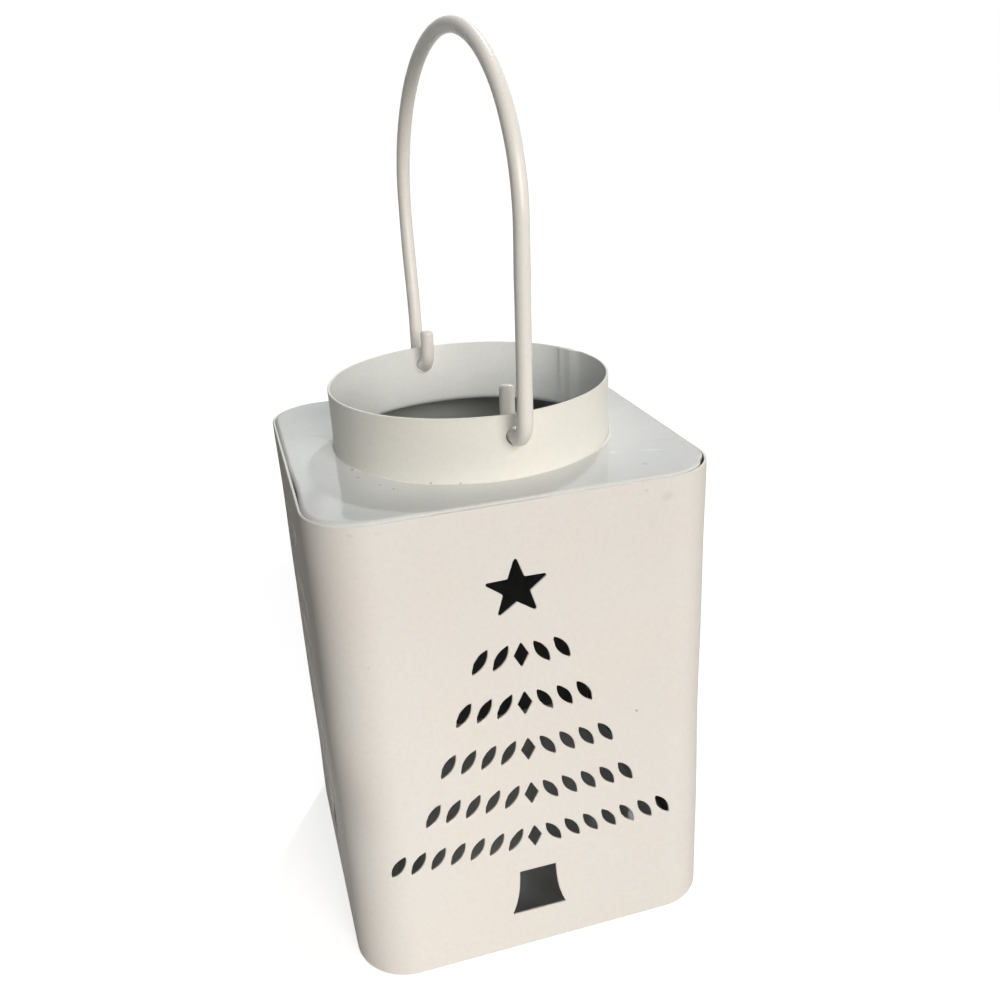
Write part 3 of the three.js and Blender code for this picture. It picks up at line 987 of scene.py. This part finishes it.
def pinhole_places(draw):
    """Pinholes round the bead as angles and shares of its slope, closer together at the front left."""
    places = []
    for _ in range(PINHOLES):
        angle = PINHOLE_MIDDLE + draw.gauss(0.0, PINHOLE_SPREAD)
        slope = draw.uniform(*PINHOLE_SLOPES)
        width = draw.uniform(*PINHOLE_WIDTHS)
        places.append((angle, slope, width))
    return places


def pinhole_sink(angle, share, size, pinholes):
    """How deep the pinholes reach at a place on the bead."""
    pit = 0.0
    for place, slope, width in pinholes:
        gap_round = (angle - place + math.pi) % (2 * math.pi) - math.pi
        gap_round *= COLLAR_RADIUS
        gap_up = (share - slope) * size * BEAD_SLOPE
        reach = PINHOLE_RADIUS * width
        pit = max(pit, smooth_step(1 - math.hypot(gap_round, gap_up) / reach))
    return PINHOLE_DEPTH * pit


def bead_profile(angle, size, pinholes):
    """The bead's section at an angle round the collar, as radii and heights."""
    profile = [Vector((COLLAR_RADIUS - BEAD_BURIED, PLATE_TOP - BEAD_BURIED))]
    for step in range(BEAD_PROFILE_STEPS + 1):
        turn = math.pi / 2 * step / BEAD_PROFILE_STEPS
        out = size * (1 - math.cos(turn))
        up = size * (1 - math.sin(turn))
        sink = pinhole_sink(angle, step / BEAD_PROFILE_STEPS, size, pinholes)
        profile.append(Vector((
            COLLAR_RADIUS + out - sink * math.cos(turn),
            PLATE_TOP + up - sink * math.sin(turn),
        )))
    profile.append(Vector((COLLAR_RADIUS + size, PLATE_TOP - BEAD_BURIED)))
    return profile


def make_bead(paint):
    """The fillet of paint where the collar stands in the plate, with small pinholes in it."""
    pinholes = pinhole_places(random.Random(BEAD_SEED))
    rings = []
    for k in range(BEAD_STEPS):
        angle = 2 * math.pi * k / BEAD_STEPS
        around = Vector((math.cos(angle), math.sin(angle), 0.0))
        swell = sum((share * noise.noise(around * scale) for share, scale in BEAD_WAVES), 1.0)
        profile = bead_profile(angle, BEAD_SIZE * swell, pinholes)
        rings.append([Vector((p.x * around.x, p.x * around.y, p.y)) for p in profile])
    piece = ringed_piece("collar_bead", rings, (paint,))
    facing_out(piece)
    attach(piece, "lantern_body")
    return piece


# Bail

def bail_path():
    """The wire's middle line from the near stub to the far one, along the hinge and above it.

    The hinge's direction is towards the front, so the near hook is on its plus side."""
    bend = (LEG_OFFSET - STUB_OFFSET) / 2
    arch_foot = BAIL_RISE - ARCH_RISE
    tip_rise = STUB_RISE + WIRE_RADIUS - STUB_EDGE_RADIUS
    path = []

    def add_line(start, end):
        count = max(1, round((end - start).length / BAIL_STEP))
        path.extend(start.lerp(end, k / count) for k in range(count))

    def add_arc(centre, half_width, rise, start, end):
        count = round(abs(end - start) * half_width / BAIL_STEP)
        for k in range(count):
            angle = start + (end - start) * k / count
            path.append(centre + Vector((half_width * math.cos(angle), rise * math.sin(angle))))

    def add_leg(side, shares):
        arch_end = side * ARCH_HALF_WIDTH - ARCH_SHIFT
        for share in shares:
            aside = side * LEG_OFFSET * (1 - smooth_step(share)) + arch_end * smooth_step(share)
            path.append(Vector((aside, bend + (arch_foot - bend) * share)))

    steps = round((arch_foot - bend) / BAIL_STEP)
    upwards = [k / steps for k in range(steps)]
    downwards = [1 - share for share in upwards]
    add_line(Vector((STUB_OFFSET, tip_rise)), Vector((STUB_OFFSET, bend)))
    add_arc(Vector((STUB_OFFSET + bend, bend)), bend, bend, -math.pi, 0.0)
    add_leg(1, upwards)
    add_arc(Vector((-ARCH_SHIFT, arch_foot)), ARCH_HALF_WIDTH, ARCH_RISE, 0.0, math.pi)
    add_leg(-1, downwards)
    add_arc(Vector((-STUB_OFFSET - bend, bend)), bend, bend, -math.pi, 0.0)
    add_line(Vector((-STUB_OFFSET, bend)), Vector((-STUB_OFFSET, tip_rise)))
    path.append(Vector((-STUB_OFFSET, tip_rise)))
    return path


def wire_ring(middle, along, radius):
    """One ring of the wire, whose path lies in a plane that leans about the hinge."""
    level = Vector((HINGE_AXIS.x, HINGE_AXIS.y, 0.0))
    across = Vector((-level.y, level.x, 0.0))
    lean_up = Vector((0.0, 0.0, math.cos(BAIL_LEAN))) + across * math.sin(BAIL_LEAN)
    lean_across = across * math.cos(BAIL_LEAN) - Vector((0.0, 0.0, math.sin(BAIL_LEAN)))
    normal = Vector((-along.y, along.x))
    ring = []
    for k in range(WIRE_SIDES):
        angle = 2 * math.pi * k / WIRE_SIDES
        in_plane = middle + normal * (radius * math.cos(angle))
        aside = lean_across * (radius * math.sin(angle))
        ring.append(HINGE + level * in_plane.x + lean_up * in_plane.y + aside)
    return ring


def tip_rings(tip, along, side):
    """Rings of a wire end whose edge is rounded, from the wire out to its flat end."""
    rings = []
    for k in range(1, STUB_EDGE_STEPS + 1):
        angle = math.pi / 2 * k / STUB_EDGE_STEPS
        radius = WIRE_RADIUS - STUB_EDGE_RADIUS * (1 - math.cos(angle))
        out = STUB_EDGE_RADIUS * math.sin(angle)
        rings.append(wire_ring(tip + along * side * out, along, radius))
    flat = tip + along * side * STUB_EDGE_RADIUS
    rings.append(wire_ring(flat, along, STUB_FACE_SHARE * WIRE_RADIUS))
    return rings if side > 0 else rings[::-1]


def make_bail(paint):
    path = bail_path()
    up = Vector((0.0, 1.0))
    down = -up
    rings = tip_rings(path[0], down, -1)
    for k, middle in enumerate(path):
        along = (path[min(k + 1, len(path) - 1)] - path[max(k - 1, 0)]).normalized()
        wave = noise.noise(Vector((middle.x, middle.y, 0.0)) / WIRE_WAVE_SIZE)
        radius = WIRE_RADIUS - WIRE_WAVE * max(0.0, WIRE_WAVE_MIDDLE + wave)
        rings.append(wire_ring(middle, along, radius))
    rings += tip_rings(path[-1], up, 1)
    count = WIRE_SIDES
    points = [point for ring in rings for point in ring]
    faces = []
    for low in range(0, (len(rings) - 1) * count, count):
        for k in range(count):
            following = (k + 1) % count
            faces.append((low + k, low + following, low + count + following, low + count + k))
    faces.append(tuple(range(count)))
    faces.append(tuple(range(len(points) - count, len(points))))
    piece = add_piece("bail_wire", points, faces, (paint,))
    facing_out(piece)
    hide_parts("bail")
    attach(piece, "bail")
    return piece


# Floor, light and camera

def seen_directly(nodes):
    """1 for rays from the camera, a mirror or glass, and 0 for the rays that carry light."""
    path = nodes.add("ShaderNodeLightPath")
    seen = nodes.maths("MAXIMUM", path.outputs["Is Camera Ray"], path.outputs["Is Glossy Ray"])
    return nodes.maths("MAXIMUM", seen, path.outputs["Is Transmission Ray"])


def make_floor():
    """A pale floor that looks white where nothing shades it."""
    half = FLOOR_SIZE / 2
    corners = [(-half, -half), (half, -half), (half, half), (-half, half)]
    mesh = bpy.data.meshes.new("floor")
    mesh.from_pydata([(x, y, -FLOOR_DROP) for x, y in corners], [], [(0, 1, 2, 3)])
    material = bpy.data.materials.new("floor_paper")
    nodes = Nodes(material)
    lit = nodes.add("ShaderNodeBsdfDiffuse", {"Color": (*FLOOR_COLOUR, 1.0)}).outputs[0]
    shown = nodes.add("ShaderNodeBsdfDiffuse", {"Color": (*FLOOR_CAMERA_COLOUR, 1.0)}).outputs[0]
    glow = nodes.add("ShaderNodeEmission", {"Strength": FLOOR_CAMERA_GLOW}).outputs[0]
    shown = nodes.add("ShaderNodeAddShader", {0: shown, 1: glow}).outputs[0]
    both = nodes.add("ShaderNodeMixShader", {0: seen_directly(nodes), 1: lit, 2: shown})
    nodes.add("ShaderNodeOutputMaterial", {"Surface": both.outputs[0]})
    mesh.materials.append(material)
    floor = bpy.data.objects.new("floor", mesh)
    bpy.context.scene.collection.objects.link(floor)


def make_world():
    """Faint light from all round, in a studio that looks white itself."""
    world = bpy.data.worlds.new("studio")
    nodes = Nodes(world)
    light = nodes.add("ShaderNodeBackground", {
        "Color": (*SKY_COLOUR, 1.0),
        "Strength": SKY_STRENGTH,
    }).outputs[0]
    white = nodes.add("ShaderNodeBackground", {
        "Color": (1.0, 1.0, 1.0, 1.0),
        "Strength": 1.0,
    }).outputs[0]
    both = nodes.add("ShaderNodeMixShader", {0: seen_directly(nodes), 1: light, 2: white})
    nodes.add("ShaderNodeOutputWorld", {"Surface": both.outputs[0]})
    bpy.context.scene.world = world


def add_light(name, kind, energy, colour, towards):
    """A light whose rays come from the direction given."""
    light = bpy.data.lights.new(name, kind)
    light.energy = energy
    light.color = colour
    lamp = bpy.data.objects.new(name, light)
    lamp.rotation_mode = "QUATERNION"
    lamp.rotation_quaternion = towards.to_track_quat("Z", "Y")
    bpy.context.scene.collection.objects.link(lamp)
    return lamp


def make_lights():
    for name, azimuth, elevation, spread, strength, colour in SUNS:
        turn = math.radians(azimuth)
        level = math.cos(math.radians(elevation))
        up = math.sin(math.radians(elevation))
        towards = Vector((level * math.sin(turn), -level * math.cos(turn), up))
        lamp = add_light(name, "SUN", strength, colour, towards)
        lamp.data.angle = math.radians(spread)
        lamp.visible_glossy = name not in SOFT_SUNS
    for name, place, aim, size, beam, power, colour in LAMPS:
        lamp = add_light(name, "AREA", power, colour, Vector(place) - Vector(aim))
        lamp.location = place
        lamp.data.shape = "DISK"
        lamp.data.size = size
        lamp.data.spread = math.radians(beam)


def make_camera():
    data = bpy.data.cameras.new("camera")
    data.sensor_width = CAMERA_SENSOR
    data.lens = CAMERA_LENS
    data.clip_start = CAMERA_CLIP_START
    camera = bpy.data.objects.new("camera", data)
    turned = Matrix.Rotation(-CAMERA_AZIMUTH, 4, "Z")
    tilted = Matrix.Rotation(math.pi / 2 - CAMERA_TILT, 4, "X")
    rolled = Matrix.Rotation(CAMERA_ROLL, 4, "Z")
    camera.matrix_world = Matrix.Translation(CAMERA_PLACE) @ turned @ tilted @ rolled
    bpy.context.scene.collection.objects.link(camera)
    bpy.context.scene.camera = camera


sleeve_paint = painted_metal(
    "sleeve_paint", warm=(0.79, 0.745, 0.70), cool=(0.775, 0.75, 0.71),
    roughness=0.8, specular=0.05, coat=0.0, coat_roughness=0.2, peel=0.10,
    marks=SLEEVE_MARKS,
)
# The plate's paint is greyer and cooler than the sleeve's: painted shade on the top face and a painted
# cool sky reflection
plate_paint = painted_metal(
    "plate_paint", warm=(0.73, 0.745, 0.735), cool=(0.70, 0.72, 0.71),
    roughness=0.7, specular=0.0, coat=1.0, coat_roughness=0.08, peel=0.06,
    marks=PLATE_MARKS,
)
# The edge roll is greyed like the plate, as painted shade where it turns down towards the gap
plate_edge = painted_metal(
    "plate_edge", warm=(0.73, 0.735, 0.715), cool=(0.71, 0.72, 0.70),
    roughness=0.6, specular=0.1, coat=0.0, coat_roughness=0.15, peel=0.06,
)
rim_paint = painted_metal(
    "rim_paint", warm=(0.82, 0.805, 0.75), cool=(0.79, 0.78, 0.73),
    roughness=0.5, specular=0.5, coat=0.3, coat_roughness=0.3, peel=0.04,
)
collar_paint = painted_metal(
    "collar_paint", warm=(0.78, 0.763, 0.70), cool=(0.76, 0.752, 0.695),
    roughness=0.6, specular=0.2, coat=0.0, coat_roughness=0.15, peel=0.10,
    marks=COLLAR_MARKS,
)
# The collar's inside is a cooler, lighter copy of its outer paint, as painted cool light
collar_inside_painted_light = painted_metal(
    "collar_inside_painted_light", warm=(0.82, 0.83, 0.81), cool=(0.80, 0.82, 0.80),
    roughness=0.6, specular=0.0, coat=1.0, coat_roughness=0.2, peel=0.06,
    marks=COLLAR_LAP_SHADE,
)
bail_paint = painted_metal(
    "bail_paint", warm=(0.82, 0.78, 0.73), cool=(0.79, 0.765, 0.72),
    roughness=0.42, specular=0.3, coat=0.2, coat_roughness=0.12, peel=0.16,
)
# The sleeve's inside and the plate's underside: near black low down as painted shade, and lighter from
# the given heights up as painted light at the mouth
inside_shade_and_light = inside_sheet(
    "inside_shade_and_light", light=(0.09, 0.092, 0.088), dark=(0.055, 0.057, 0.054),
    high=(0.46, 0.468, 0.455),
)
floor_metal = inside_sheet(
    "floor_metal", light=(0.55, 0.555, 0.54), dark=(0.45, 0.455, 0.44),
    high=(0.5, 0.505, 0.49),
)

make_sleeve(sleeve_paint, inside_shade_and_light, rim_paint)
make_top_plate(plate_paint, plate_edge, inside_shade_and_light)
make_floor_pan(floor_metal)
make_collar(collar_paint, collar_inside_painted_light, rim_paint)
make_bead(collar_paint)
make_bail(bail_paint)
make_floor()
make_world()
make_lights()
make_camera()

bpy.context.scene.view_settings.view_transform = "Standard"
